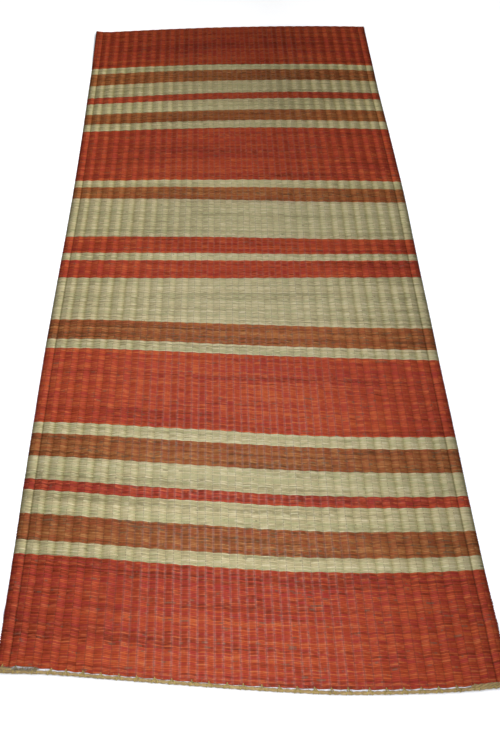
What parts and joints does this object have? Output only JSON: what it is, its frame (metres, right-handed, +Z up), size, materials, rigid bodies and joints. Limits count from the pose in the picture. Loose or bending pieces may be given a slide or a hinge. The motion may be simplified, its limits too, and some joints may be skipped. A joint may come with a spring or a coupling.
{
  "type": "sedge floor mat",
  "caption": "Ribbed, striped sedge floor mat lying flat, with a twisted jute cord hitched along its near end.",
  "frame": {"origin": "under the middle of the whole mat's bounding box, on the surface that it lies on", "axes": "+X across the mat, +Y along it towards the end with no cord, +Z up through its thickness"},
  "size_m": [0.9096, 2.0312, 0.0079],
  "materials": {
    "woven_sedge": "plain-woven dyed sedge stems on thin warps, in red, brown and natural stripes, satin and streaked",
    "jute_cord": "two-ply twisted natural jute, matte"
  },
  "bodies": {
    "root": {"woven_mat": "woven_sedge", "end_cord": "jute_cord"}
  },
  "joints": []
}
